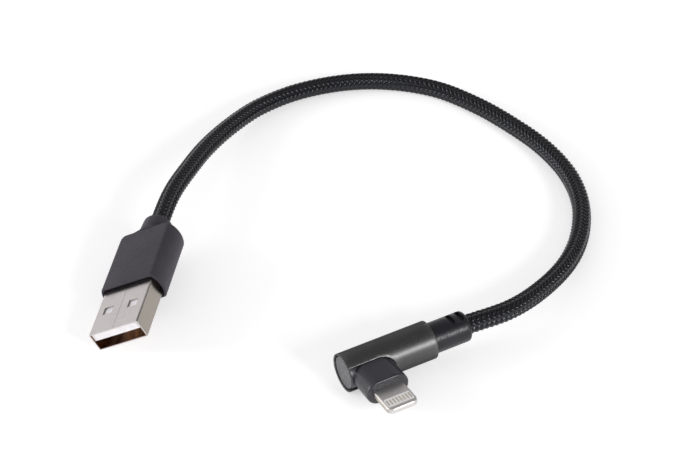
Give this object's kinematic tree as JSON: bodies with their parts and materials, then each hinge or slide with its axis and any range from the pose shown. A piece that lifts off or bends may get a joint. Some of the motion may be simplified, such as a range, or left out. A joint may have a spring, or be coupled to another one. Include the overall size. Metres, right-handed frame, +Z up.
{
  "type": "charging cable",
  "caption": "Short braided charging cable lying in an open loop, with a straight USB-A plug and a right-angle barrel plug with a reversible contact tab.",
  "frame": {"origin": "on the table under the centre of the box that holds the two plugs", "axes": "+X from the USB plug towards the angled plug's strain relief, +Z up from the table"},
  "size_m": [0.1068, 0.1227, 0.0123],
  "materials": {
    "nickel_shell": "nickel plated sheet steel, satin",
    "nickel_tab": "nickel plated, smooth",
    "white_insulator": "moulded white plastic",
    "gold_contacts": "gold flash plating",
    "solder": "bright solder",
    "inner_mould": "milky polyethylene",
    "crimp_metal": "tin plated steel",
    "soft_touch_black": "soft-touch, fine grain",
    "black_braid": "braided nylon yarn with a slight gloss",
    "cord_jacket": "flexible PVC",
    "foil_shield": "aluminium foil",
    "wire_red": "wire insulation",
    "wire_white": "wire insulation",
    "wire_green": "wire insulation",
    "wire_black": "wire insulation",
    "anodised_barrel": "dark anodised, fine blasted",
    "housing_black": "moulded, matt",
    "board_green": "green solder mask",
    "chip_black": "epoxy package",
    "capacitor_tan": "ceramic chip",
    "relief_black": "flexible moulded plastic, matt"
  },
  "bodies": {
    "root": {"usb_shell": "nickel_shell", "usb_insulator": "white_insulator", "usb_contacts": "gold_contacts", "usb_solder": "solder", "usb_inner_mould": "inner_mould", "usb_crimp": "crimp_metal", "usb_overmould": "soft_touch_black", "braid_sleeve": "black_braid", "cord_jacket": "cord_jacket", "cord_shield": "foil_shield", "wire_power": "wire_red", "wire_data_minus": "wire_white", "wire_data_plus": "wire_green", "wire_ground": "wire_black", "barrel_sleeve": "anodised_barrel", "tab_housing": "housing_black", "tab_frame": "nickel_tab", "tab_insulator": "white_insulator", "tab_pads_top": "gold_contacts", "tab_pads_bottom": "gold_contacts", "tab_circuit_board": "board_green", "tab_chip": "chip_black", "tab_capacitors": "capacitor_tan", "tab_solder": "solder", "barrel_crimp": "crimp_metal", "strain_relief": "relief_black"}
  },
  "joints": []
}
